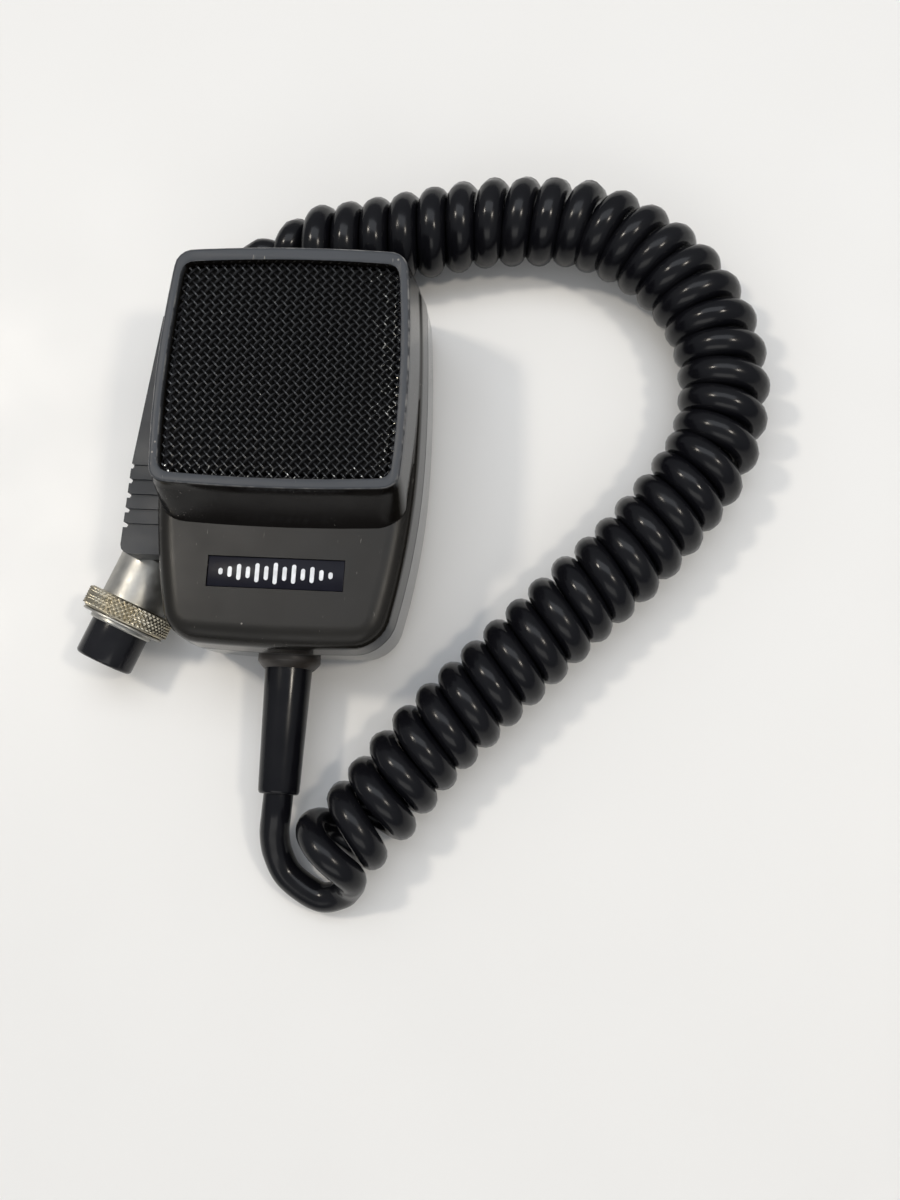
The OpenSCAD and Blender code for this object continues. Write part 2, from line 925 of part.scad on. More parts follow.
module plug_barrel() {
    barrel_r = barrel_d / 2;
    color("silver")
        at_plug(barrel_start)
            difference() {
                union() {
                    cylinder(r = barrel_r, h = barrel_end - barrel_start);
                    intersection() {
                        cylinder(r = clamp_r, h = clamp_end - barrel_start);
                        translate([-clamp_r, clamp_split, 0])
                            cube([2 * clamp_r, clamp_r, clamp_end - barrel_start]);
                    }
                }
                translate([0, 0, -1])
                    cylinder(r = insert_root_r + fit, h = insert_l - barrel_start + 1);
                translate([0, 0, insert_l - barrel_start - eps])
                    cylinder(r = barrel_bore_r, h = barrel_bore_l);
                translate([0, 0, barrel_end - barrel_start])
                    cylinder(r = cord_d / 2 + fit, h = 20);
                translate([0, 0, set_screw_s - barrel_start])
                    rotate([90, 0, 0])
                        cylinder(r = set_screw_r + fit, h = barrel_r + 1);
                for (side = [-1, 1])
                    translate([side * tiny_screw_x, -1, barrel_end - barrel_start + tiny_screw_s])
                        rotate([-90, 0, 0])
                            cylinder(r = tiny_screw_r, h = tiny_screw_l + hole_spare);
            }
}

module ring_washer() {
    color("silver")
        at_plug(washer_start)
            difference() {
                cylinder(r = washer_r, h = washer_t);
                translate([0, 0, -1])
                    cylinder(r = barrel_d / 2 + fit, h = washer_t + 2);
            }
}

module coupling_ring() {
    color("silver")
        at_plug(ring_start)
            difference() {
                cylinder(r = ring_d / 2, h = ring_l);
                translate([0, 0, -1])
                    cylinder(r = barrel_d / 2 + fit, h = ring_l + 2);
                translate([0, 0, -eps])
                    cylinder(r = thread_r, h = thread_l);
            }
}

module plug_clamp() {
    color("silver")
        at_plug(barrel_end)
            difference() {
                intersection() {
                    cylinder(r = clamp_r, h = clamp_end - barrel_end);
                    translate([-clamp_r, -clamp_r, clamp_gap])
                        cube([2 * clamp_r, clamp_r - clamp_split, clamp_end - barrel_end]);
                }
                translate([0, 0, -1])
                    cylinder(r = cord_d / 2 + fit, h = 20);
                for (side = [-1, 1])
                    translate([side * tiny_screw_x, 0, tiny_screw_s])
                        rotate([90, 0, 0]) {
                            cylinder(r = tiny_screw_r + fit, h = clamp_r);
                            translate([0, 0, tiny_head_seat])
                                cylinder(r = tiny_head_r + 2 * fit, h = clamp_r);
                        }
            }
}

module plug_clamp_screws() {
    color("silver")
        at_plug(barrel_end)
            for (side = [-1, 1])
                translate([side * tiny_screw_x, -tiny_head_seat, tiny_screw_s])
                    rotate([90, 0, 0])
                        pan_screw(tiny_screw_r, tiny_screw_l, tiny_head_r, tiny_head_r);
}

module plug_set_screw() {
    color("silver")
        at_plug(set_screw_s)
            translate([0, -set_screw_depth, 0])
                rotate([90, 0, 0])
                    cylinder(r = set_screw_r, h = barrel_d / 2 - set_screw_depth - button_sink);
}

front_case();
rear_case();
grille_mesh();
grille_foam();
grille_frame();
badge_plate();
mic_capsule();
capsule_gasket();
capsule_strap();
strap_screws();
ptt_lever();
lever_pin();
plunger_spring();
switch_plunger();
switch_body();
switch_terminals();
switch_screws();
terminal_board();
board_screws();
board_parts();
inner_leads();
cord_clamp();
clamp_screws();
case_screws();
hang_button();
button_screw();
rating_plate();
cord_bush();
cord_boot();
cord_entry();
cord_lead();
cord_coil();
cord_tail();
plug_barrel();
plug_insert();
plug_contacts();
ring_washer();
coupling_ring();
plug_clamp();
plug_clamp_screws();
plug_set_screw();
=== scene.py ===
"""Hand microphone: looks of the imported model.

All lengths are metres, in the CAD frame: the back of the case lies on z = 0,
+Y runs to the head, and the push-to-talk lever is on the -X side.
"""
import bmesh
import bpy
import json
import math
from mathutils import Matrix, Vector


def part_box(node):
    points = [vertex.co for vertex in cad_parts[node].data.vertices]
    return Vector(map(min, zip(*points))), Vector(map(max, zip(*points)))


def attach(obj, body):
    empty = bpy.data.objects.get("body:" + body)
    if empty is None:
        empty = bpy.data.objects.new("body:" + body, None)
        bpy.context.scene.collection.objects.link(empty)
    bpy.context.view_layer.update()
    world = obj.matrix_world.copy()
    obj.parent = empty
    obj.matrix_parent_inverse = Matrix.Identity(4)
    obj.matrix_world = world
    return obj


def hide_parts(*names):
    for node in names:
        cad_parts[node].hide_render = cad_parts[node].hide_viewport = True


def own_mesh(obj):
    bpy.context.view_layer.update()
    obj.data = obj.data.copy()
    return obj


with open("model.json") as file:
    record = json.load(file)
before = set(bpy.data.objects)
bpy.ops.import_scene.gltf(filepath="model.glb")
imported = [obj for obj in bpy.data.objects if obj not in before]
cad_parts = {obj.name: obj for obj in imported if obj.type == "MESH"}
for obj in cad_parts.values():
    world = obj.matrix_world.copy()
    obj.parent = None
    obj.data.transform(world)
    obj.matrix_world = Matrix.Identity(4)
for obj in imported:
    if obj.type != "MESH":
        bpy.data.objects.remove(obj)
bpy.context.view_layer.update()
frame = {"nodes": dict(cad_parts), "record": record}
MM = 0.001
UP = Vector((0, 0, 1))
TURN = 2 * math.pi
LEAST_EDGE = 0.003 * MM
SMOOTH_DEG = 38


# --------------------------------------------------------------- sizes

rear_low, rear_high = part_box("rear_case")
front_low, front_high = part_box("front_case")
badge_low, badge_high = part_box("badge_plate")
cloth_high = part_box("grille_mesh")[1]
lever_low, lever_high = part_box("ptt_lever")

BODY_L = rear_high.y - rear_low.y
BODY_W = 2 * rear_high.x
SEAM_Z = front_low.z
HEAD_Z = front_high.z
FACE_Z = HEAD_Z - 9 * MM
WALL = 2.2 * MM
FIT = 0.05 * MM

# Case outline
CORNER_R = 6 * MM
LEAST_R = 1 * MM
TAPER_TOP = 2.4 * MM
TAPER_BOTTOM = 5.4 * MM
END_BOW = 0.8 * MM
SEAM_GROOVE = 0.25 * MM

# Head
HEAD_W = 50.6 * MM
HEAD_BOW = 2 * MM
HEAD_BOW_L = 30 * MM
HEAD_MID_Y = 8 * MM
HEAD_TOP_Y = 39 * MM
HEAD_FRONT_Y = -10.4 * MM
HEAD_R = 3 * MM
CHIN_L = 5 * MM
CHIN_FOOT_R = 5 * MM
RIM_W = 1.8 * MM
OPENING_LOW_Y = -8.2 * MM
OPENING_HIGH_Y = 36.3 * MM
OPENING_R = 2 * MM
LEDGE_W = 1.2 * MM
LEDGE_Z = HEAD_Z - 5.5 * MM

# Lever
PIVOT = Vector((-22.5, 28.5, 0)) * MM
HUB_R = 2.8 * MM
GROOVE_COUNT = 5
GROOVE_PITCH = 3.1 * MM
GROOVE_W = 1.1 * MM
GROOVE_FLOOR_X = -33.1 * MM
LINE_W = 0.6 * MM
LINE_DEPTH = 0.4 * MM
PIN_HOLE_R = 1.25 * MM
FIRST_GROOVE_Y = -3 * MM
POCKET_GAP = 0.6 * MM

# Cord and plug
CORD_D = 6.2 * MM
COIL_OUTER_D = 19 * MM
EXIT_Z = 10 * MM
PLUG_TURN = math.radians(22)
PLUG_TIP = Vector((-40.4, -42.7, 9.5)) * MM


# --------------------------------------------------------------- camera

CAMERA_AT = Vector((0.0637, -0.0696, 0.2745))
CAMERA_LOOK = Vector((-0.1143, 0.1615, -0.9802)).normalized()
CAMERA_UP = Vector((-0.0436, 0.9849, 0.1674)).normalized()
LENS_MM = 39.0
SENSOR_MM = 36.0


def add_camera():
    """Put the camera where the photographer held it."""
    data = bpy.data.cameras.new("camera")
    data.lens = LENS_MM
    data.sensor_width = SENSOR_MM
    data.clip_start = 0.01
    right = CAMERA_LOOK.cross(CAMERA_UP).normalized()
    up = right.cross(CAMERA_LOOK)
    turn = Matrix((right, up, -CAMERA_LOOK)).transposed()
    camera = link("camera", data)
    camera.matrix_world = Matrix.Translation(CAMERA_AT) @ turn.to_4x4()
    bpy.context.scene.camera = camera


# --------------------------------------------------------------- mesh helpers

def link(name, data):
    """Make an object of some data and put it in the scene."""
    piece = bpy.data.objects.new(name, data)
    bpy.context.scene.collection.objects.link(piece)
    return piece


def mesh_piece(name, points, faces, smooth_deg=SMOOTH_DEG):
    """An object of points and faces, smooth except at edges sharper than an angle."""
    mesh = bpy.data.meshes.new(name)
    mesh.from_pydata(points, [], faces)
    mesh.shade_smooth()
    mesh.set_sharp_from_angle(angle=math.radians(smooth_deg))
    return link(name, mesh)


def stitch(rings, closed=True):
    """Faces between rings of equal size, with caps on the first and last ring if closed."""
    size = len(rings[0])
    faces = []
    for i in range(len(rings) - 1):
        for k in range(size):
            n = (k + 1) % size
            faces.append((i * size + k, i * size + n, (i + 1) * size + n, (i + 1) * size + k))
    if closed:
        faces.append(tuple(range(size - 1, -1, -1)))
        faces.append(tuple((len(rings) - 1) * size + k for k in range(size)))
    return faces


def stitch_round(rings):
    """Faces between rings that stand round an axis, the last joined to the first."""
    count = len(rings) * len(rings[0])
    return [tuple(i % count for i in face) for face in stitch(rings + rings[:1], closed=False)]


def points_of(rings):
    """All points of some rings, in order."""
    return [point for ring in rings for point in ring]


def turned_over(faces):
    """The same faces, seen from their other side."""
    return [face[::-1] for face in faces]


def loft(name, *piles, clockwise=False, smooth_deg=SMOOTH_DEG):
    """One mesh of closed solids, each through a pile of rings with the lowest first.

    Seen from above, the rings turn to the left, or to the right if they are clockwise.
    """
    points = []
    faces = []
    for rings in piles:
        base = len(points)
        faces += [tuple(base + i for i in face) for face in stitch(rings)]
        points += points_of(rings)
    return mesh_piece(name, points, turned_over(faces) if clockwise else faces, smooth_deg)


def prism(name, outline, low_z, high_z):
    """A straight solid over an outline."""
    return loft(name, [[(x, y, z) for x, y in outline] for z in (low_z, high_z)])


def box_piece(name, low, high):
    """A cutter with flat sides between two corners."""
    outline = [(low[0], low[1]), (high[0], low[1]), (high[0], high[1]), (low[0], high[1])]
    return prism(name, outline, low[2], high[2])


def turned(name, profile, sides, place, start=0.0, sweep=TURN):
    """Turn a closed profile of (station, radius) in millimetres about the axis of place."""
    whole = sweep == TURN
    stations = [(s * MM, r * MM) for s, r in profile]
    rings = []
    for k in range(sides if whole else sides + 1):
        angle = start + sweep * k / sides
        rings.append([place @ Vector((r * math.cos(angle), r * math.sin(angle), s))
                      for s, r in stations])
    faces = stitch_round(rings) if whole else stitch(rings)
    return mesh_piece(name, points_of(rings), turned_over(faces))


def combine(piece, other, operation):
    """Change a piece by a boolean with another, which is used up."""
    step = piece.modifiers.new("step", "BOOLEAN")
    step.object = other
    step.operation = operation
    step.solver = "EXACT"
    bake(piece)
    bpy.data.objects.remove(other)


def cut(piece, *cutters):
    """Take solids away from a piece, one after another."""
    for cutter in cutters:
        combine(piece, cutter, "DIFFERENCE")


def bake(piece):
    """Replace a piece's mesh by what its modifiers make of it."""
    bpy.context.view_layer.update()
    graph = bpy.context.evaluated_depsgraph_get()
    mesh = bpy.data.meshes.new_from_object(piece.evaluated_get(graph))
    piece.modifiers.clear()
    piece.data = mesh


def clean(piece, split):
    """Merge points that cuts left on top of each other, and drop faces without area.

    Faces of more than four sides are split if wanted, so that they stay closed when exported.
    """
    mesh = bmesh.new()
    mesh.from_mesh(piece.data)
    bmesh.ops.remove_doubles(mesh, verts=mesh.verts, dist=LEAST_EDGE)
    if split:
        bmesh.ops.triangulate(mesh, faces=[face for face in mesh.faces if len(face.verts) > 4])
    bmesh.ops.dissolve_degenerate(mesh, edges=mesh.edges, dist=LEAST_EDGE)
    mesh.to_mesh(piece.data)
    mesh.free()


def smooth_again(piece, smooth_deg=SMOOTH_DEG, split=True):
    """Clean the mesh and set its sharp edges anew after cuts."""
    clean(piece, split)
    piece.data.shade_smooth()
    piece.data.set_sharp_from_angle(angle=math.radians(smooth_deg))


def soften(piece, width, smooth_deg=SMOOTH_DEG):
    """Round the sharp edges of a simple solid a little."""
    step = piece.modifiers.new("step", "BEVEL")
    step.width = width
    step.segments = 2
    step.limit_method = "ANGLE"
    step.angle_limit = math.radians(smooth_deg)
    bake(piece)
    smooth_again(piece, smooth_deg)


def dress(piece, look):
    """Give a piece or a node one look."""
    piece.data.materials.clear()
    piece.data.materials.append(LOOKS[look])


def put(piece, body, slot, *nodes, look=None):
    """Parent a piece to what it rides on, give it its finish and hide the nodes it stands for."""
    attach(piece, body)
    if nodes:
        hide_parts(*nodes)
    dress(piece, look or slot)
    return piece


# --------------------------------------------------------------- curves

def curve_point(route, i, t):
    """Point at t between route[i] and route[i + 1] on a smooth curve through all."""
    a = route[max(i - 1, 0)]
    b = route[i]
    c = route[i + 1]
    d = route[min(i + 2, len(route) - 1)]
    return 0.5 * ((2 * b) + (c - a) * t + (2 * a - 5 * b + 4 * c - d) * t * t
                  + (3 * b - a - 3 * c + d) * t * t * t)


def smooth_line(route, steps):
    """Dense points on the smooth curve through a route."""
    line = [curve_point(route, i, k / steps)
            for i in range(len(route) - 1) for k in range(steps)]
    return line + [route[-1].copy()]


def running_length(line):
    """Length along a line of points, at each point."""
    lengths = [0.0]
    for a, b in zip(line, line[1:]):
        lengths.append(lengths[-1] + (b - a).length)
    return lengths


# --------------------------------------------------------------- materials

def new_look(name):
    """A material with nodes, and its main shader."""
    look = bpy.data.materials.new(name)
    look.use_nodes = True
    return look, look.node_tree.nodes["Principled BSDF"]


def add_node(look, kind, inputs=(), **settings):
    """A node of a material or world, with its settings made and its inputs set or linked."""
    node = look.node_tree.nodes.new(kind)
    for key, value in settings.items():
        setattr(node, key, value)
    for key, value in dict(inputs).items():
        if isinstance(value, bpy.types.NodeSocket):
            look.node_tree.links.new(value, node.inputs[key])
        else:
            node.inputs[key].default_value = value
    return node


def feed(look, socket, value):
    """Link an output to a shader's input."""
    look.node_tree.links.new(value, socket)


def place_in(look):
    """Position on the piece, in metres."""
    return add_node(look, "ShaderNodeTexCoord").outputs["Object"]


def noise(look, size, detail=3, stretch=(1, 1, 1)):
    """Noise from 0 to 1 with spots of a size in metres, longer along a stretched axis."""
    scaled = add_node(look, "ShaderNodeMapping",
                      {"Vector": place_in(look), "Scale": [1 / s for s in stretch]})
    return add_node(look, "ShaderNodeTexNoise",
                    {"Vector": scaled.outputs[0], "Scale": 1 / size, "Detail": detail}).outputs[0]


def spread(look, value, low, high, to_low, to_high):
    """Map a value's range onto another, held at its ends."""
    return add_node(look, "ShaderNodeMapRange",
                    {"Value": value, "From Min": low, "From Max": high,
                     "To Min": to_low, "To Max": to_high}).outputs[0]


def ramp(look, value, low, high):
    """Straight rise from 0 at low to 1 at high, held at its ends."""
    return spread(look, value, low, high, 0, 1)


def math_node(look, operation, a, b):
    """Arithmetic on two values."""
    return add_node(look, "ShaderNodeMath", {0: a, 1: b}, operation=operation).outputs[0]


def product(look, *values):
    """All values multiplied."""
    result = values[0]
    for value in values[1:]:
        result = math_node(look, "MULTIPLY", result, value)
    return result


def mix(look, share, a, b):
    """Colour between a and b."""
    node = add_node(look, "ShaderNodeMix", {0: share}, data_type="RGBA")
    for socket, value in ((node.inputs[6], a), (node.inputs[7], b)):
        if isinstance(value, bpy.types.NodeSocket):
            look.node_tree.links.new(value, socket)
        else:
            socket.default_value = (*value, 1)
    return node.outputs[2]


def specks(look, spacing, size, share):
    """1 on sparse small specks of dust, 0 elsewhere."""
    cells = add_node(look, "ShaderNodeTexVoronoi", {"Vector": place_in(look), "Scale": 1 / spacing})
    near = spread(look, cells.outputs["Distance"], size * 0.6, size, 1, 0)
    tint = add_node(look, "ShaderNodeSeparateColor", {0: cells.outputs["Color"]})
    chosen = math_node(look, "LESS_THAN", tint.outputs[0], share)
    return product(look, near, chosen)


def scratches(look, size, stretch, level):
    """1 on fine scratches that run along the stretched axis, 0 elsewhere."""
    lines = noise(look, size, 2, stretch)
    patches = noise(look, 0.012, 2)
    return product(look, ramp(look, lines, level, level + 0.03), ramp(look, patches, 0.5, 0.62))


def bump(look, shader, height, depth):
    """Relief of a depth in metres."""
    node = add_node(look, "ShaderNodeBump", {"Height": height, "Distance": depth, "Strength": 1.0})
    feed(look, shader.inputs["Normal"], node.outputs[0])


def plain_look(name, colour, other, spot, rough, grain, depth, metal=0.0, shine=0.5):
    """A surface with two close tones, uneven gloss and a fine grain."""
    look, shader = new_look(name)
    tone = mix(look, ramp(look, noise(look, spot), 0.35, 0.65), colour, other)
    feed(look, shader.inputs["Base Color"], tone)
    feed(look, shader.inputs["Roughness"], spread(look, noise(look, spot * 0.7), 0.3, 0.7, *rough))
    bump(look, shader, noise(look, grain, 4), depth)
    shader.inputs["Metallic"].default_value = metal
    shader.inputs["Specular IOR Level"].default_value = shine
    return look


PLASTIC_TONES = (0.0095, 0.0085, 0.0070), (0.0135, 0.0120, 0.0100)
HEAD_TONE = (0.046, 0.050, 0.057)
WORN_TONE = (0.24, 0.235, 0.225)
# Painted shade: a darker colour for the chin, standing in for the dark side of the room that it faces.
CHIN_SHADE_TONE = (0.005, 0.0042, 0.0036)
MARK_TONE = (0.30, 0.28, 0.25)


def case_tone(look, height, facing):
    """Colour of the case: paler on the head, worn along its rim, with painted shade that darkens the
    chin.
    """
    tone = mix(look, ramp(look, noise(look, 0.014), 0.35, 0.65), *PLASTIC_TONES)
    tone = mix(look, ramp(look, height, FACE_Z + 7 * MM, HEAD_Z), tone, HEAD_TONE)
    rim = ramp(look, height, HEAD_Z - 0.7 * MM, HEAD_Z - 0.2 * MM)
    rounding = ramp(look, facing[2], 0.97, 0.75)
    scuffs = spread(look, noise(look, 0.0022, 6), 0.46, 0.64, 0.1, 1)
    tone = mix(look, product(look, rim, rounding, scuffs), tone, WORN_TONE)
    # Painted shade: surfaces higher than the face that lean towards -Y, which is the chin, get a darker
    # colour.
    chin_shade = ramp(look, facing[1], -0.5, -0.7)
    above_face = ramp(look, height, FACE_Z - MM, FACE_Z)
    return mix(look, product(look, chin_shade, above_face), tone, CHIN_SHADE_TONE)


def case_look(name, shine):
    """Satin moulded plastic, scuffed along the rim of the head, with dust and scratches."""
    look, shader = new_look(name)
    height = add_node(look, "ShaderNodeSeparateXYZ", {0: place_in(look)}).outputs[2]
    normal = add_node(look, "ShaderNodeNewGeometry").outputs["Normal"]
    facing = add_node(look, "ShaderNodeSeparateXYZ", {0: normal}).outputs
    marks = math_node(look, "MAXIMUM", specks(look, 0.0036, 0.07, 0.4),
                      scratches(look, 0.00035, (1, 9, 1), 0.71))
    tone = mix(look, product(look, marks, 0.75), case_tone(look, height, facing), MARK_TONE)
    feed(look, shader.inputs["Base Color"], tone)
    flat = math_node(look, "ABSOLUTE", facing[2], 0)
    satin = spread(look, flat, 0.3, 0.9, 0.08, 0.36)
    uneven = spread(look, noise(look, 0.006), 0.3, 0.7, -0.04, 0.06)
    feed(look, shader.inputs["Roughness"], math_node(look, "ADD", satin, uneven))
    bump(look, shader, noise(look, 0.00028, 4), 0.000012)
    shader.inputs["Specular IOR Level"].default_value = shine
    return look


def cloth_look():
    """Black wire, worn bright in spots, most of them near the right and cord-side edges."""
    look, shader = new_look("mesh_wire")
    at = add_node(look, "ShaderNodeSeparateXYZ", {0: place_in(look)}).outputs
    right = spread(look, at[0], 0.014, 0.023, 0, 0.18)
    low = spread(look, at[1], -0.004, -0.008, 0, 0.17)
    level = math_node(look, "SUBTRACT", 0.74, math_node(look, "MAXIMUM", right, low))
    worn = math_node(look, "GREATER_THAN", noise(look, 0.0006, 3), level)
    tone = mix(look, worn, (0.009, 0.009, 0.010), (0.66, 0.64, 0.58))
    feed(look, shader.inputs["Base Color"], tone)
    feed(look, shader.inputs["Metallic"], worn)
    feed(look, shader.inputs["Roughness"], spread(look, noise(look, 0.0008), 0.3, 0.7, 0.16, 0.28))
    bump(look, shader, noise(look, 0.0002, 2), 0.00001)
    shader.inputs["Specular IOR Level"].default_value = 0.8
    return look


def aged_nickel_look():
    """Plated brass, unevenly yellowed."""
    look, shader = new_look("nickel_aged")
    shade = ramp(look, noise(look, 0.004, 3), 0.35, 0.7)
    tone = mix(look, shade, (0.50, 0.46, 0.37), (0.40, 0.35, 0.25))
    feed(look, shader.inputs["Base Color"], tone)
    feed(look, shader.inputs["Roughness"], spread(look, noise(look, 0.0012), 0.3, 0.7, 0.28, 0.42))
    bump(look, shader, noise(look, 0.0006, 3), 0.00001)
    shader.inputs["Metallic"].default_value = 1.0
    return look


def floor_look():
    """White table top, barely uneven."""
    look, shader = new_look("floor")
    tone = mix(look, noise(look, 0.09, 2), (0.81, 0.80, 0.78), (0.78, 0.77, 0.75))
    feed(look, shader.inputs["Base Color"], tone)
    feed(look, shader.inputs["Roughness"], spread(look, noise(look, 0.03), 0.3, 0.7, 0.35, 0.5))
    return look


# Two tones, spot size, roughness range, grain size and depth, and where they matter metal and shine
PLAIN_LOOKS = {
    "lever_plastic": ((0.022, 0.024, 0.028), (0.028, 0.031, 0.035),
        0.01, (0.36, 0.5), 0.0004, 2e-5, 0, 0.3),
    "black_plastic": ((0.009, 0.009, 0.011), (0.013, 0.013, 0.015),
        0.006, (0.12, 0.2), 0.0008, 1e-5, 0, 0.24),
    "foam": ((0.002, 0.002, 0.002), (0.005, 0.005, 0.005), 0.0008, (0.9, 1.0), 0.0006, 3e-4, 0, 0.2),
    "badge": ((0.005, 0.005, 0.010), (0.007, 0.007, 0.013), 0.004, (0.28, 0.38), 0.002, 1e-5, 0, 0.12),
    "badge_mark": ((0.66, 0.67, 0.69), (0.52, 0.53, 0.55), 0.002, (0.3, 0.45), 0.0006, 1e-5, 0.3, 0.3),
    "capsule_metal": ((0.55, 0.55, 0.53), (0.48, 0.47, 0.44), 0.004, (0.25, 0.4), 0.001, 1e-5, 1),
    "rubber": ((0.012, 0.012, 0.012), (0.02, 0.02, 0.02), 0.004, (0.6, 0.8), 0.0008, 3e-5, 0),
    "steel": ((0.58, 0.58, 0.57), (0.42, 0.40, 0.37), 0.0025, (0.25, 0.45), 0.0007, 1e-5, 1),
    "switch_plastic": ((0.60, 0.55, 0.42), (0.52, 0.47, 0.35), 0.004, (0.4, 0.55), 0.001, 1e-5, 0),
    "switch_red": ((0.42, 0.03, 0.02), (0.34, 0.025, 0.02), 0.003, (0.35, 0.5), 0.001, 1e-5, 0),
    "brass": ((0.72, 0.52, 0.22), (0.56, 0.38, 0.14), 0.002, (0.2, 0.4), 0.0008, 1e-5, 1),
    "board": ((0.28, 0.17, 0.06), (0.22, 0.13, 0.045), 0.003, (0.5, 0.65), 0.0006, 2e-5, 0),
    "board_part": ((0.05, 0.10, 0.30), (0.30, 0.20, 0.10), 0.004, (0.3, 0.5), 0.001, 1e-5, 0),
    "wire": ((0.45, 0.05, 0.04), (0.38, 0.04, 0.03), 0.004, (0.4, 0.55), 0.001, 1e-5, 0),
    "cord_jacket": ((0.004, 0.004, 0.0055), (0.006, 0.006, 0.0075),
        0.008, (0.16, 0.26), 0.0025, 2e-5, 0, 0.24),
    "nickel": ((0.46, 0.45, 0.42), (0.40, 0.39, 0.36), 0.003, (0.36, 0.5), 0.0009, 1e-5, 1),
    "plate": ((0.60, 0.60, 0.60), (0.50, 0.50, 0.51), 0.004, (0.3, 0.45), 0.0006, 1e-5, 1),
    "bush_plastic": ((0.022, 0.017, 0.013), (0.030, 0.023, 0.018), 0.004, (0.35, 0.5), 0.0006, 2e-5, 0),
}


def make_looks():
    """One look for each material slot of the record, and a few of the scene's own."""
    looks = {name: plain_look(name, *values) for name, values in PLAIN_LOOKS.items()}
    looks["case_plastic"] = case_look("case_plastic", 0.26)
    looks["rear_plastic"] = case_look("rear_plastic", 0.6)
    looks["mesh_wire"] = cloth_look()
    looks["nickel_aged"] = aged_nickel_look()
    looks["floor"] = floor_look()
    return looks


# --------------------------------------------------------------- case outlines

RAY_COUNT = 200
HALVINGS = 24
RAYS = [(math.cos(TURN * k / RAY_COUNT), math.sin(TURN * k / RAY_COUNT))
        for k in range(RAY_COUNT)]


def corner(a, b, r):
    """Distance outside a corner of radius r, from the distances past its two sides."""
    return math.hypot(max(a + r, 0), max(b + r, 0)) + min(max(a + r, b + r), 0) - r


def case_edge(x, y, inset):
    """Distance outside the case outline drawn in by inset; negative inside."""
    taper = TAPER_TOP if y > 0 else TAPER_BOTTOM
    half = BODY_W / 2 - taper * (2 * y / BODY_L) ** 2
    end = abs(y) - BODY_L / 2 + END_BOW * (x / half) ** 2
    return corner(abs(x) - half, end, max(CORNER_R, inset + LEAST_R)) + inset


def head_edge(x, y, inset, front_y=HEAD_FRONT_Y, front_r=HEAD_R):
    """Distance outside the head's outline drawn in by inset; negative inside."""
    half = HEAD_W / 2 - HEAD_BOW * ((y - HEAD_MID_Y) / HEAD_BOW_L) ** 2
    bow = END_BOW * (x / half) ** 2
    if y > HEAD_MID_Y:
        return corner(abs(x) - half, y - HEAD_TOP_Y + bow, max(HEAD_R, inset + LEAST_R)) + inset
    return corner(abs(x) - half, front_y - y + bow, max(front_r, inset + LEAST_R)) + inset


def opening_edge(x, y, inset):
    """Distance outside the grille opening drawn in by inset; negative inside."""
    half = HEAD_W / 2 - RIM_W - HEAD_BOW * ((y - HEAD_MID_Y) / HEAD_BOW_L) ** 2
    bow = END_BOW * (x / half) ** 2
    end = max(y - OPENING_HIGH_Y, OPENING_LOW_Y - y) + bow
    return corner(abs(x) - half, end, max(OPENING_R, inset + LEAST_R)) + inset


def ring_of(edge, middle, z, *shape):
    """Ring of points where an outline crosses the rays from its middle."""
    ring = []
    for dx, dy in RAYS:
        low, high = 0.0, BODY_L
        for _ in range(HALVINGS):
            reach = (low + high) / 2
            if edge(dx * reach, middle + dy * reach, *shape) < 0:
                low = reach
            else:
                high = reach
        ring.append((dx * low, middle + dy * low, z))
    return ring


def case_loft(name, levels):
    """A solid over the case outline through levels of (z, inset)."""
    return loft(name, [ring_of(case_edge, 0.0, z, inset) for z, inset in levels])


def rim_loft(name, levels):
    """A solid over the grille opening's outline through levels of (z, inset)."""
    return loft(name, [ring_of(opening_edge, HEAD_MID_Y, z, inset) for z, inset in levels])


def rounded(low_z, high_z, low_inset, high_inset, steps=7):
    """Levels of an edge rounded like a quarter of an ellipse, closing at the top."""
    turns = [math.pi / 2 * k / steps for k in range(steps + 1)]
    return [(low_z + (high_z - low_z) * math.sin(a),
             low_inset + (high_inset - low_inset) * (1 - math.cos(a))) for a in turns]


# --------------------------------------------------------------- case

POCKET_LOW_Y = -23 * MM
POCKET_HIGH_Y = 32.2 * MM
POCKET_X = -21 * MM
POCKET_FLOOR_Z = lever_low.z - POCKET_GAP

# Slot of the hang-up button, finger scoop and screws in the back
SLOT_R = 11 * MM
SLOT_DEPTH = 4.8 * MM
SLOT_END_Y = 20 * MM
SCOOP_MIDDLE = (-63.9 * MM, -16 * MM)
SCOOP_R = 40 * MM
INNER_WALL = 2 * MM
SCREW_X = 15.5 * MM
SCREW_Y = -31 * MM
SCREW_HEAD_R = 3.2 * MM
SCREW_DEPTH = 3 * MM


def pocket_cutter():
    """Space of the lever in the side of the case."""
    return box_piece("pocket", (-BODY_W, POCKET_LOW_Y, POCKET_FLOOR_Z),
                     (POCKET_X, POCKET_HIGH_Y, lever_high.z + POCKET_GAP))


def recess_cutter(node, gap, low_z, high_z):
    """Space round the outline of a node, between two heights."""
    low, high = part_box(node)
    return box_piece("recess", (low.x - gap, low.y - gap, low_z), (high.x + gap, high.y + gap, high_z))


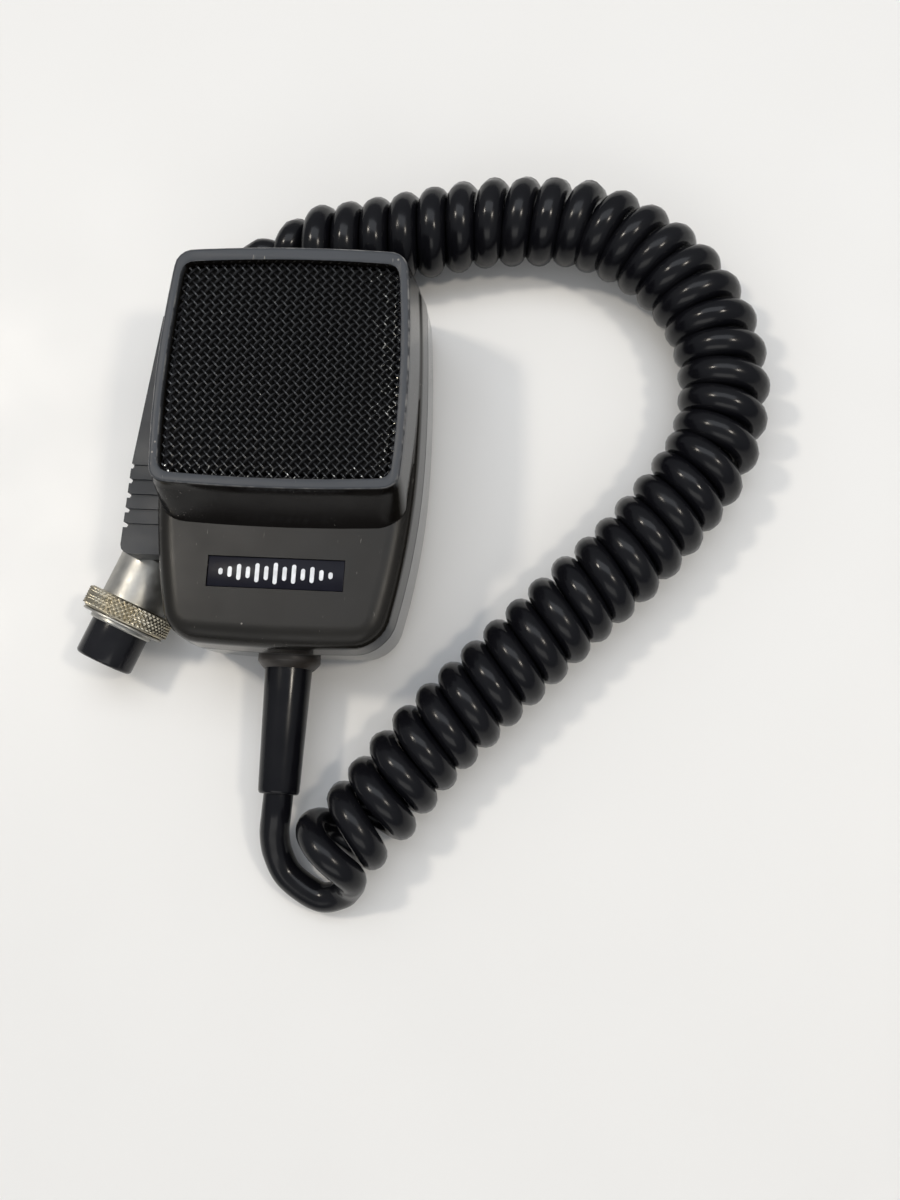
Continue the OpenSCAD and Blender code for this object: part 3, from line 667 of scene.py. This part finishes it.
def head_block():
    """The raised head, with its sloping chin on the cord side."""
    steps = 8
    rim_r = 0.6 * MM
    foot_flare = 0.8 * MM
    foot_z = FACE_Z - 4 * MM
    shoulder_z = HEAD_Z - rim_r
    slope = CHIN_L / (shoulder_z - FACE_Z)
    rings = []
    for k in range(steps + 1):
        t = k / steps
        z = foot_z + (shoulder_z - foot_z) * t
        front_y = HEAD_FRONT_Y - slope * (shoulder_z - z)
        front_r = CHIN_FOOT_R + (HEAD_R - CHIN_FOOT_R) * t
        rings.append(ring_of(head_edge, HEAD_MID_Y, z, -foot_flare * (1 - t), front_y, front_r))
    for z, inset in rounded(shoulder_z, HEAD_Z, 0, rim_r, 4)[1:] + [(HEAD_Z, 0.75 * MM)]:
        rings.append(ring_of(head_edge, HEAD_MID_Y, z, inset))
    return loft("head", rings)


def front_block():
    """Outside of the front shell below the head, with its widely rounded face edge."""
    edge_z = FACE_Z - 3.6 * MM
    levels = [(SEAM_Z, SEAM_GROOVE), (SEAM_Z + SEAM_GROOVE, 0), (edge_z - 0.6 * MM, 0.28 * MM)]
    levels += rounded(edge_z, FACE_Z, 0.32 * MM, 4.4 * MM, 9) + [(FACE_Z, 4.8 * MM)]
    return case_loft("front_shell", levels)


def opening_cutter():
    """Opening of the grille, widened by a small lip at the rim."""
    lip = 0.3 * MM
    return rim_loft("opening", [(LEDGE_Z, 0), (HEAD_Z - lip, 0), (HEAD_Z - lip * 0.3, -lip * 0.3),
                                (HEAD_Z + 0.02 * MM, -lip), (HEAD_Z + MM, -lip)])


def add_front_case():
    """Front shell: body and head in one, hollow, with the openings cut."""
    shell = front_block()
    combine(shell, head_block(), "UNION")
    hollow = [(SEAM_Z - MM, WALL), (FACE_Z - 4 * MM, WALL + 0.3 * MM), (FACE_Z - WALL, WALL + 4 * MM)]
    cut(shell, case_loft("hollow", hollow),
        rim_loft("well", [(SEAM_Z, LEDGE_W), (HEAD_Z + MM, LEDGE_W)]),
        opening_cutter(),
        recess_cutter("badge_plate", 0.1 * MM, badge_low.z, HEAD_Z),
        pocket_cutter())
    smooth_again(shell, split=False)
    put(shell, "case", "case_plastic", "front_case")


def arc(centre, r, start_deg, stop_deg, steps):
    """Points on an arc in the plane of the back."""
    return [(centre[0] + r * math.cos(math.radians(start_deg + (stop_deg - start_deg) * k / steps)),
             centre[1] + r * math.sin(math.radians(start_deg + (stop_deg - start_deg) * k / steps)))
            for k in range(steps + 1)]


def slot_cutter(grow):
    """Slot of the hang-up button, open at the grille end, or the same with its wall."""
    r = SLOT_R + grow
    outline = arc((0, SLOT_END_Y), r, 180, 360, 32) + [(r, BODY_L), (-r, BODY_L)]
    return prism("slot", outline, -MM, SLOT_DEPTH + grow)


def scoop_cutter(grow, high_z):
    """Round scoop for the finger under the lever, or the same with its wall."""
    return prism("scoop", arc(SCOOP_MIDDLE, SCOOP_R + grow, 0, 354, 118), -MM, high_z)


def screw_cutter(x):
    """Hole of a case screw's head."""
    return prism("screw_hole", arc((x, SCREW_Y), SCREW_HEAD_R, 0, 354, 40), -MM, SCREW_DEPTH)


def rear_block():
    """Outside of the rear shell, with its widely rounded back edge."""
    back_r = 7.5 * MM
    flat_inset = 6.8 * MM
    draft = 0.4 * MM
    turns = [math.pi / 2 * k / 9 for k in range(10)]
    levels = [(0, flat_inset + draft)]
    levels += [(back_r * (1 - math.cos(a)), draft + (flat_inset - draft) * (1 - math.sin(a)))
               for a in turns]
    levels += [(SEAM_Z - SEAM_GROOVE, 0), (SEAM_Z - FIT, SEAM_GROOVE)]
    return case_loft("rear_shell", levels)


def rear_hollow():
    """Inside of the rear shell, less the walls over the slot and the scoop."""
    hollow = case_loft("hollow", [(WALL, 6.4 * MM), (8 * MM, WALL + 0.8 * MM), (SEAM_Z + MM, WALL)])
    cut(hollow, slot_cutter(INNER_WALL), scoop_cutter(INNER_WALL, POCKET_FLOOR_Z))
    return hollow


def add_rear_case():
    """Rear shell: rounded tray with the pocket, slot, scoop, screw holes and cord hole cut."""
    shell = rear_block()
    hole = along_y(-BODY_L / 2 + MM)
    plate_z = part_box("rating_plate")[1].z
    cut(shell, rear_hollow(), pocket_cutter(), slot_cutter(0), scoop_cutter(0, POCKET_FLOOR_Z + FIT),
        screw_cutter(-SCREW_X), screw_cutter(SCREW_X),
        recess_cutter("rating_plate", 0.2 * MM, -MM, plate_z),
        turned("bush_hole", [(0, 0), (0, 6.55), (9, 6.55), (9, 0)], 64, hole),
        turned("neck_hole", [(-9, 0), (-9, 4.45), (1, 4.45), (1, 0)], 48, hole))
    smooth_again(shell)
    put(shell, "case", "case_plastic", "rear_case", look="rear_plastic")


def along_y(start_y):
    """Place on the cord's exit axis with stations counted away from the case."""
    return Matrix.Translation((0, start_y, EXIT_Z)) @ Matrix.Rotation(math.pi / 2, 4, "X")


# --------------------------------------------------------------- wires

def tube_rings(line, r, sides, up):
    """Rings of points round a line that never runs along up."""
    rings = []
    for k, spot in enumerate(line):
        ahead = (line[min(k + 1, len(line) - 1)] - line[max(k - 1, 0)]).normalized()
        side = ahead.cross(up).normalized()
        over = side.cross(ahead)
        rings.append([spot + r * (side * math.cos(a) + over * math.sin(a))
                      for a in (TURN * n / sides for n in range(sides))])
    return rings


SPRING_WIRE_D = 0.5 * MM
SPRING_TURNS = 4
SPRING_STEPS = 28


def add_plunger_spring():
    """The plunger's spring, wound to fill the box of its node."""
    low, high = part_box("plunger_spring")
    r = (high.z - low.z - SPRING_WIRE_D) / 2
    start_x = low.x + SPRING_WIRE_D / 2
    length = high.x - low.x - SPRING_WIRE_D
    middle = (low + high) / 2
    last = SPRING_TURNS * SPRING_STEPS
    line = []
    for k in range(last + 1):
        turn = TURN * k / SPRING_STEPS
        line.append(Vector((start_x + length * k / last,
                            middle.y + r * math.cos(turn), middle.z + r * math.sin(turn))))
    rings = tube_rings(line, SPRING_WIRE_D / 2, 10, Vector((1, 0, 0)))
    spring = loft("spring", rings, clockwise=True, smooth_deg=60)
    put(spring, "case", "steel", "plunger_spring")
    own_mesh(spring)


# --------------------------------------------------------------- grille cloth

WIRE_D = 0.45 * MM
WIRE_PITCH = 1.3 * MM
WIRE_SIDES = 5
STEPS_PER_CROSSING = 4
CLOTH_MID_Y = 14 * MM
CLOTH_CROWN = 0.25 * MM
BEND_W = 1.4 * MM
BEND_DROP = 0.9 * MM


def cloth_z(x, y):
    """Height of the cloth's middle surface: slightly domed, bent down along its edges."""
    depth = -opening_edge(x, y, 0)
    top = cloth_high.z - WIRE_D
    bend = max(0.0, 1 - depth / BEND_W) * min(1.0, (OPENING_HIGH_Y - y) / (8 * MM))
    crown = CLOTH_CROWN * ((x / HEAD_W * 2) ** 2 + ((y - CLOTH_MID_Y) / HEAD_W * 2) ** 2)
    return top - crown - BEND_DROP * bend ** 2


def wire_runs(direction, across, sign):
    """Centrelines of one family of wires, cut to the opening."""
    middle = Vector((0, CLOTH_MID_Y))
    reach = HEAD_W * 0.75
    count = round(reach / WIRE_PITCH)
    step = WIRE_PITCH / STEPS_PER_CROSSING
    for j in range(-count, count + 1):
        run = []
        for i in range(-count * STEPS_PER_CROSSING, count * STEPS_PER_CROSSING + 1):
            spot = middle + direction * (i * step) + across * (j * WIRE_PITCH)
            inside = opening_edge(spot.x, spot.y, 0.2 * MM) < 0
            if inside:
                wave = math.cos(math.pi * (i / STEPS_PER_CROSSING + j)) * sign
                run.append(Vector((spot.x, spot.y, cloth_z(spot.x, spot.y) + wave * WIRE_D * 0.5)))
            if run and not inside:
                break
        if len(run) > STEPS_PER_CROSSING:
            yield run


def add_cloth():
    """Woven wire cloth, wire by wire."""
    slant = math.sqrt(0.5)
    first = Vector((slant, slant))
    second = Vector((slant, -slant))
    runs = list(wire_runs(first, second, 1)) + list(wire_runs(second, first, -1))
    wires = [tube_rings(run, WIRE_D / 2, WIRE_SIDES, UP) for run in runs]
    cloth = loft("grille_cloth", *wires, clockwise=True, smooth_deg=70)
    put(cloth, "case", "mesh_wire", "grille_mesh")


# --------------------------------------------------------------- badge

BAR_HEIGHTS = [h * MM for h in (0.9, 1.7, 2.8, 1.9, 3.4, 2.4, 3.9, 2.4, 3.4, 1.9, 2.8, 1.7, 0.9)]
BAR_PITCH = 1.85 * MM
BAR_R = 0.42 * MM


def add_badge():
    """Black badge with a row of rounded bars, like a sound wave, as its only mark."""
    plate = box_piece("badge", badge_low, badge_high)
    soften(plate, 0.15 * MM)
    put(plate, "case", "badge", "badge_plate")
    middle_y = (badge_low.y + badge_high.y) / 2
    bars = []
    for k, height in enumerate(BAR_HEIGHTS):
        x = (k - (len(BAR_HEIGHTS) - 1) / 2) * BAR_PITCH
        half = height / 2 - BAR_R * 0.5
        outline = arc((x, middle_y + half), BAR_R, 0, 180, 8)
        outline += arc((x, middle_y - half), BAR_R, 180, 360, 8)
        bars.append([[(px, py, z) for px, py in outline]
                     for z in (badge_high.z - 0.02 * MM, badge_high.z + 0.06 * MM)])
    put(loft("badge_mark", *bars), "case", "badge", look="badge_mark")


# --------------------------------------------------------------- lever

def lever_outline():
    """Lever seen from above: hub end, wedge, finger pad and the hook behind the wall."""
    far = [(-22.5, 31.3), (-27.2, 31.3), (-28.8, 30.8), (-30, 29.5), (-33.55, -3)]
    pad = [(-34.15, -19.6), (-33.9, -20.5), (-33.3, -21.1), (-32.3, -21.4)]
    hook = [(-21.9, -21.4), (-21.9, -25.6), (-21.2, -25.6), (-20.4, -24.8), (-20.4, -19)]
    inner = [(-24.9, -19), (-24.9, -4), (-25.5, -2), (-25.5, 15), (-22.5, 25.7)]
    return [(x * MM, y * MM) for x, y in far + pad + hook + inner][::-1]


def add_lever():
    """Push-to-talk lever with finger grooves that run on across its top face."""
    lever = prism("lever", lever_outline(), lever_low.z, lever_high.z)
    hub = prism("hub", arc((PIVOT.x, PIVOT.y), HUB_R, 0, 352, 44), lever_low.z, lever_high.z)
    combine(lever, hub, "UNION")
    cut(lever, prism("pin_hole", arc((PIVOT.x, PIVOT.y), PIN_HOLE_R, 0, 352, 32), 0, HEAD_Z))
    outer_x = -40 * MM
    inner_x = -20 * MM
    for k in range(GROOVE_COUNT):
        y = FIRST_GROOVE_Y - GROOVE_PITCH * k
        notch = box_piece("notch", (outer_x, y - GROOVE_W / 2, 0),
                          (GROOVE_FLOOR_X, y + GROOVE_W / 2, HEAD_Z))
        line = box_piece("line", (outer_x, y - LINE_W / 2, lever_high.z - LINE_DEPTH),
                         (inner_x, y + LINE_W / 2, HEAD_Z))
        cut(lever, notch, line)
    soften(lever, 0.22 * MM, 30)
    put(lever, "lever", "case_plastic", "ptt_lever", look="lever_plastic")


# --------------------------------------------------------------- cord

COIL_R = (COIL_OUTER_D - CORD_D) / 2
COIL_PITCH = 6.3 * MM
OPEN_PITCH = 10.5 * MM
OPEN_REACH = 9 * MM
COIL_SHRINK = 14 * MM
END_PITCH = 24 * MM
POINTS_PER_TURN = 20
BOOT_STRAIGHT = Vector((0, -62, 10)) * MM

# Routes given in millimetres: boot to coil, axis of the coil at one height, and plug to coil
COIL_Z = 9.6
LEAD_ROUTE = [Vector(p) * MM for p in (
    (0, -68, 10), (-0.3, -72, 9.2), (-0.8, -76, 7.2), (-0.2, -80.2, 5), (2.4, -84.6, 3.6),
    (8.6, -88.2, 3.2), (13.2, -87.5, 4.4), (15.4, -85.7, 6.8))]
COIL_ROUTE = [Vector((x, y, COIL_Z)) * MM for x, y in (
    (10.7, -81.5), (13.2, -77), (19, -70.8), (28.5, -58), (39, -46.5), (49, -36), (59, -25.5),
    (69.5, -15), (79, -3), (85.5, 8), (87.5, 21), (85, 33.5), (78.5, 44), (69, 52), (58, 57),
    (47, 58), (36, 57.5), (25, 55.5), (10, 52.5), (-4, 50.5), (-14, 50))]
TAIL_ROUTE = [Vector(p) * MM for p in (
    (-31.2, -20, 9.5), (-29.3, -15.3, 9.5), (-28.9, -11, 8.2), (-30, -5, 5.4),
    (-32.2, 4, 3.7), (-33, 14, 3.3), (-33, 26, 3.3), (-32, 36, 3.3), (-28, 43.6, 3.4),
    (-21.5, 47.6, 5), (-14, 50, 9.6))]


def coil_line():
    """Centreline of the curly stretch, from full width on the right of its axis to the axis."""
    axis = smooth_line(COIL_ROUTE, 24)
    total = running_length(axis)[-1]
    line = []
    turn = 0.0
    s = 0.0
    for a, b in zip(axis, axis[1:]):
        ahead = b - a
        share = min((total - s) / COIL_SHRINK, 1.0)
        r = COIL_R * share * share * (3 - 2 * share)
        pitch = COIL_PITCH + (OPEN_PITCH - COIL_PITCH) * math.exp(-s / OPEN_REACH)
        pitch += (END_PITCH - COIL_PITCH) * (1 - share) ** 3
        pieces = max(1, round(ahead.length / pitch * POINTS_PER_TURN))
        left = UP.cross(ahead).normalized()
        for k in range(pieces):
            line.append(a + ahead * (k / pieces) + r * (UP * math.sin(turn) - left * math.cos(turn)))
            turn += TURN * ahead.length / pieces / pitch
            s += ahead.length / pieces
    return line


def cord_line():
    """Centreline of the whole cord: lead, curly stretch and tail to the plug."""
    coil = coil_line()
    steps = 10
    lead = smooth_line([BOOT_STRAIGHT] + LEAD_ROUTE + [coil[0], coil[3]], steps)[:-steps - 1]
    return lead + coil + smooth_line(TAIL_ROUTE[::-1], steps)


def add_cord(plug_pieces):
    """The cord as one round tube along its real path."""
    line = cord_line()
    data = bpy.data.curves.new("cord", "CURVE")
    data.dimensions = "3D"
    data.bevel_depth = 1
    data.bevel_resolution = 6
    data.use_fill_caps = True
    spline = data.splines.new("POLY")
    spline.points.add(len(line) - 1)
    for point, spot in zip(spline.points, line):
        point.co = (*spot, 1)
        point.radius = CORD_D / 2
    piece = link("cord", data)
    put(piece, "case", "cord_jacket", "cord_lead", "cord_coil", "cord_tail")


def add_strain_relief():
    """Collar in the case and the tapered boot of the cord."""
    bush = turned("bush", [(0.2, 4.45), (0.2, 6.45), (1.7, 6.5), (2.0, 6.3), (3.0, 5.45), (3.2, 5.2),
                           (3.2, 4.45)], 64, along_y(-BODY_L / 2 + MM))
    put(bush, "case", "case_plastic", "cord_bush", look="bush_plastic")
    inner = CORD_D / 2 / MM + 0.03
    boot = turned("boot", [(-6.2, inner), (-6.2, 4.4), (0, 4.4), (0, 4.9), (25.2, 4.25), (25.7, 4.1),
                           (25.95, 3.8), (26, inner)], 64, along_y(-BODY_L / 2 - 2 * MM))
    put(boot, "case", "cord_jacket", "cord_boot")


# --------------------------------------------------------------- plug

HOLE_CIRCLE_R = 3.4 * MM
KNURLS = 52
RING_SIDES = KNURLS * 8
KNURL_DEPTH = 0.42 * MM
KNURL_R = 9.5 * MM
KNURL_MEAN_R = 9.3 * MM


def plug_place():
    """Place on the plug's axis with stations counted from its tip to the cord."""
    ahead = Vector((math.sin(PLUG_TURN), math.cos(PLUG_TURN), 0))
    side = UP.cross(ahead)
    turn = Matrix((side, UP, ahead)).transposed()
    return Matrix.Translation(PLUG_TIP) @ turn.to_4x4()


def add_insert(place):
    """Black insert with its four contact holes."""
    insert = turned("plug_insert_shell",
                    [(0, 0), (0, 5.6), (0.2, 5.95), (0.6, 6.2), (8, 6.2), (8, 5.9), (16, 5.9), (16, 0)],
                    72, place)
    for k in range(4):
        turn = Matrix.Rotation(math.radians(45 + 90 * k), 4, "Z")
        spot = place @ (turn @ Matrix.Translation((HOLE_CIRCLE_R, 0, 0)))
        cut(insert, turned("hole", [(-1, 0), (-1, 1.55), (15, 1.55), (15, 0)], 24, spot))
    smooth_again(insert)
    return put(insert, "case", "black_plastic", "plug_insert")


def add_barrel(place):
    """Satin barrel with the fixed half of the cable clamp behind it."""
    barrel = turned("plug_barrel_shell",
                    [(8, 5.95), (8, 6.6), (8.3, 6.85), (23.9, 6.85), (24.4, 6.4), (24.4, 3.2),
                     (23.9, 3.2), (23.9, 4.7), (16, 4.7), (16, 5.95)], 72, place)
    gap_angle = 0.09
    half = turned("clamp_half", [(24.1, 3.3), (24.1, 4.6), (29.2, 4.8), (29.6, 4.6), (29.6, 3.3)],
                  30, place, start=gap_angle, sweep=math.pi - 2 * gap_angle)
    combine(barrel, half, "UNION")
    smooth_again(barrel)
    return put(barrel, "case", "nickel", "plug_barrel")


def knurl(angle, s):
    """Height of a diamond knurl from 0 to 1."""
    slant = KNURLS / KNURL_MEAN_R
    first = abs(((KNURLS * angle + slant * s) / TURN) % 1 - 0.5) * 2
    second = abs(((KNURLS * angle - slant * s) / TURN) % 1 - 0.5) * 2
    return min(1.0, 1.35 * min(first, second))


def add_ring(place):
    """Knurled coupling ring with a plain lip in front and a thread recess inside."""
    steps = 22
    knurl_start = 10.0
    knurl_length = 3.7
    profile = [(9.6, 8.0), (9.6, 8.9), (9.75, 9.05), (knurl_start, 9.05)]
    profile += [(knurl_start + knurl_length * k / steps, None) for k in range(steps + 1)]
    profile += [(13.85, 9.0), (14.0, 8.8), (14.0, 6.9), (12.4, 6.9), (12.4, 8.0)]
    rings = []
    for k in range(RING_SIDES):
        angle = TURN * k / RING_SIDES
        outline = []
        for s, r in profile:
            out = r * MM if r else KNURL_R - KNURL_DEPTH * (1 - knurl(angle, s * MM))
            outline.append(place @ Vector((out * math.cos(angle), out * math.sin(angle), s * MM)))
        rings.append(outline)
    ring = mesh_piece("coupling_ring_shell", points_of(rings), turned_over(stitch_round(rings)), 50)
    return put(ring, "ring", "nickel", "coupling_ring", look="nickel_aged")


def add_washer(place):
    """Thin bright washer in front of the ring."""
    washer = turned("washer", [(8.9, 6.9), (8.9, 8.7), (9.05, 8.9), (9.35, 8.9), (9.5, 8.7), (9.5, 6.9)],
                    72, place)
    return put(washer, "collar", "nickel", "ring_washer")


def add_plug():
    """The plug's pieces, and the CAD nodes that stay with it."""
    place = plug_place()
    pieces = [add_insert(place), add_barrel(place), add_ring(place), add_washer(place)]
    return pieces + ["plug_contacts", "plug_clamp", "plug_clamp_screws", "plug_set_screw"]


# --------------------------------------------------------------- stage

FLOOR_HALF = 4.0
SKY_COLOUR = (0.86, 0.90, 0.96, 1)
SKY_STRENGTH = (0.24, 0.52)

# Name, place, size, power and colour of each lamp
LAMPS = (
    ("window", (0.05, 0.6, 1.6), (1.8, 0.9), 10, (0.90, 0.94, 1.0)),
    ("fill", (-0.1, -1.5, 1.2), (1.6, 0.8), 6, (1.0, 0.98, 0.94)),
    ("ceiling_left", (-0.66, 0.28, 1.2), (0.14, 0.14), 4.5, (1.0, 0.92, 0.80)),
    ("ceiling_right", (0.76, 0.0, 1.2), (0.14, 0.14), 4, (1.0, 0.92, 0.80)),
)


def add_floor():
    """Pale floor, far wider than the microphone."""
    corners = [(x * FLOOR_HALF, y * FLOOR_HALF, 0) for x, y in ((-1, -1), (1, -1), (1, 1), (-1, 1))]
    floor = mesh_piece("floor", corners, [(0, 1, 2, 3)])
    dress(floor, "floor")


def add_light():
    """Soft light: a sky that is brighter overhead, and the lamps."""
    world = bpy.data.worlds.new("soft_room")
    bpy.context.scene.world = world
    bpy.context.scene.view_settings.view_transform = "Standard"
    world.use_nodes = True
    sky = world.node_tree.nodes["Background"]
    way = add_node(world, "ShaderNodeTexCoord").outputs["Generated"]
    upward = add_node(world, "ShaderNodeSeparateXYZ", {0: way}).outputs[2]
    feed(world, sky.inputs["Strength"], spread(world, upward, 0.0, 0.8, *SKY_STRENGTH))
    sky.inputs["Color"].default_value = SKY_COLOUR
    for lamp in LAMPS:
        add_lamp(*lamp)


def add_lamp(name, at, size, power, colour):
    """A soft rectangular lamp that faces the microphone."""
    data = bpy.data.lights.new(name, "AREA")
    data.shape = "RECTANGLE"
    data.size, data.size_y = size
    data.energy = power
    data.color = colour
    lamp = link(name, data)
    lamp.location = at
    lamp.rotation_euler = (-Vector(at)).to_track_quat("-Z", "Y").to_euler()


# --------------------------------------------------------------- everything

LOOKS = make_looks()
add_camera()
add_floor()
add_light()
add_front_case()
add_rear_case()
add_cloth()
add_plunger_spring()
add_badge()
add_lever()
add_strain_relief()
add_cord(add_plug())

for part in frame["record"]["subparts"]:
    dress(frame["nodes"][part["node"]], part["material_slot"])

bpy.context.view_layer.update()
